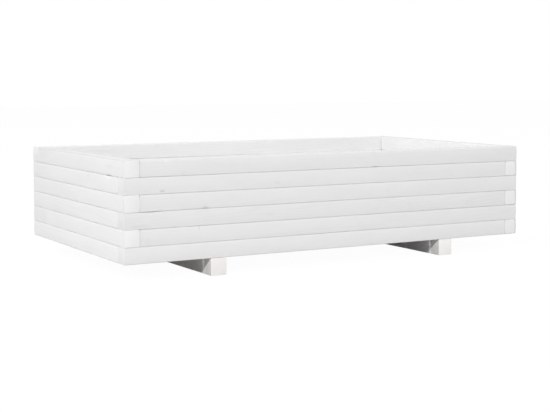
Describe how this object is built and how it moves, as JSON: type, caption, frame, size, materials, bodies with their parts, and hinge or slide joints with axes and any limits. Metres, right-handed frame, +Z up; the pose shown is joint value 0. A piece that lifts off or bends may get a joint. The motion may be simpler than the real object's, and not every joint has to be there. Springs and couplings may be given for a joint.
{
  "type": "raised garden bed",
  "caption": "Low rectangular raised garden bed of square white timber stacked in courses with pinwheel corner laps, open on top, with a boarded floor on cross feet, for soil and plants.",
  "frame": {"origin": "on the ground, at the middle of the bed's length and depth", "axes": "+X along the length to the right, +Y to the back, +Z up"},
  "size_m": [1.1, 0.6, 0.268],
  "materials": {
    "wall_timber": "white paint over planed softwood, faint grain",
    "foot_timber": "white paint over planed softwood, faint grain",
    "floor_timber": "white paint over planed softwood, faint grain",
    "dowel": "bare beech",
    "screw": "zinc plated"
  },
  "bodies": {
    "root": {"front_beam_1": "wall_timber", "right_beam_1": "wall_timber", "back_beam_1": "wall_timber", "left_beam_1": "wall_timber", "front_beam_2": "wall_timber", "right_beam_2": "wall_timber", "back_beam_2": "wall_timber", "left_beam_2": "wall_timber", "front_beam_3": "wall_timber", "right_beam_3": "wall_timber", "back_beam_3": "wall_timber", "left_beam_3": "wall_timber", "front_beam_4": "wall_timber", "right_beam_4": "wall_timber", "back_beam_4": "wall_timber", "left_beam_4": "wall_timber", "front_beam_5": "wall_timber", "right_beam_5": "wall_timber", "back_beam_5": "wall_timber", "left_beam_5": "wall_timber", "front_beam_6": "wall_timber", "right_beam_6": "wall_timber", "back_beam_6": "wall_timber", "left_beam_6": "wall_timber", "left_foot": "foot_timber", "right_foot": "foot_timber", "floor_board_1": "floor_timber", "floor_board_2": "floor_timber", "floor_board_3": "floor_timber", "floor_board_4": "floor_timber", "floor_board_5": "floor_timber", "butt_dowels_1": "dowel", "butt_dowels_2": "dowel", "butt_dowels_3": "dowel", "butt_dowels_4": "dowel", "butt_dowels_5": "dowel", "butt_dowels_6": "dowel", "course_dowels_1": "dowel", "course_dowels_2": "dowel", "course_dowels_3": "dowel", "course_dowels_4": "dowel", "course_dowels_5": "dowel", "foot_screws": "screw", "floor_screws": "screw"}
  },
  "joints": []
}
